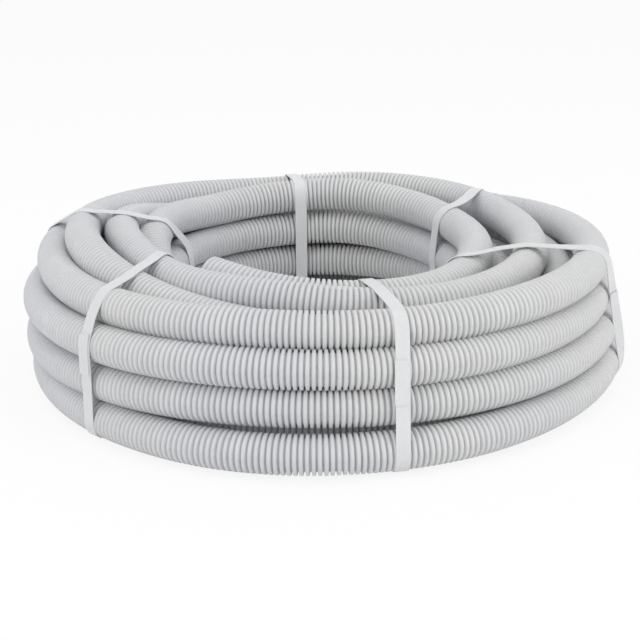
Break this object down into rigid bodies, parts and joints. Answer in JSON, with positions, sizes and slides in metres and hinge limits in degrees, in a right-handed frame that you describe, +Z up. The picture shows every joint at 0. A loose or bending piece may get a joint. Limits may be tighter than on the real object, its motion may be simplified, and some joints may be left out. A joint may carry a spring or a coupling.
{
  "type": "coil of corrugated electrical conduit",
  "caption": "Strapped coil of grey corrugated plastic conduit lying flat, with an open eye and cut pipe ends.",
  "frame": {"origin": "centre of the coil's footprint, on the floor under the straps", "axes": "+Z up along the coil's axis through its eye; -Y to the picture's camera; +X to the picture's right"},
  "size_m": [0.4286, 0.4278, 0.1094],
  "materials": {
    "conduit": "matte",
    "strap": "satin"
  },
  "bodies": {
    "root": {"conduit": "conduit", "strap_front": "strap", "strap_left_front": "strap", "strap_left": "strap", "strap_back": "strap", "strap_right_back": "strap", "strap_right": "strap"}
  },
  "joints": []
}
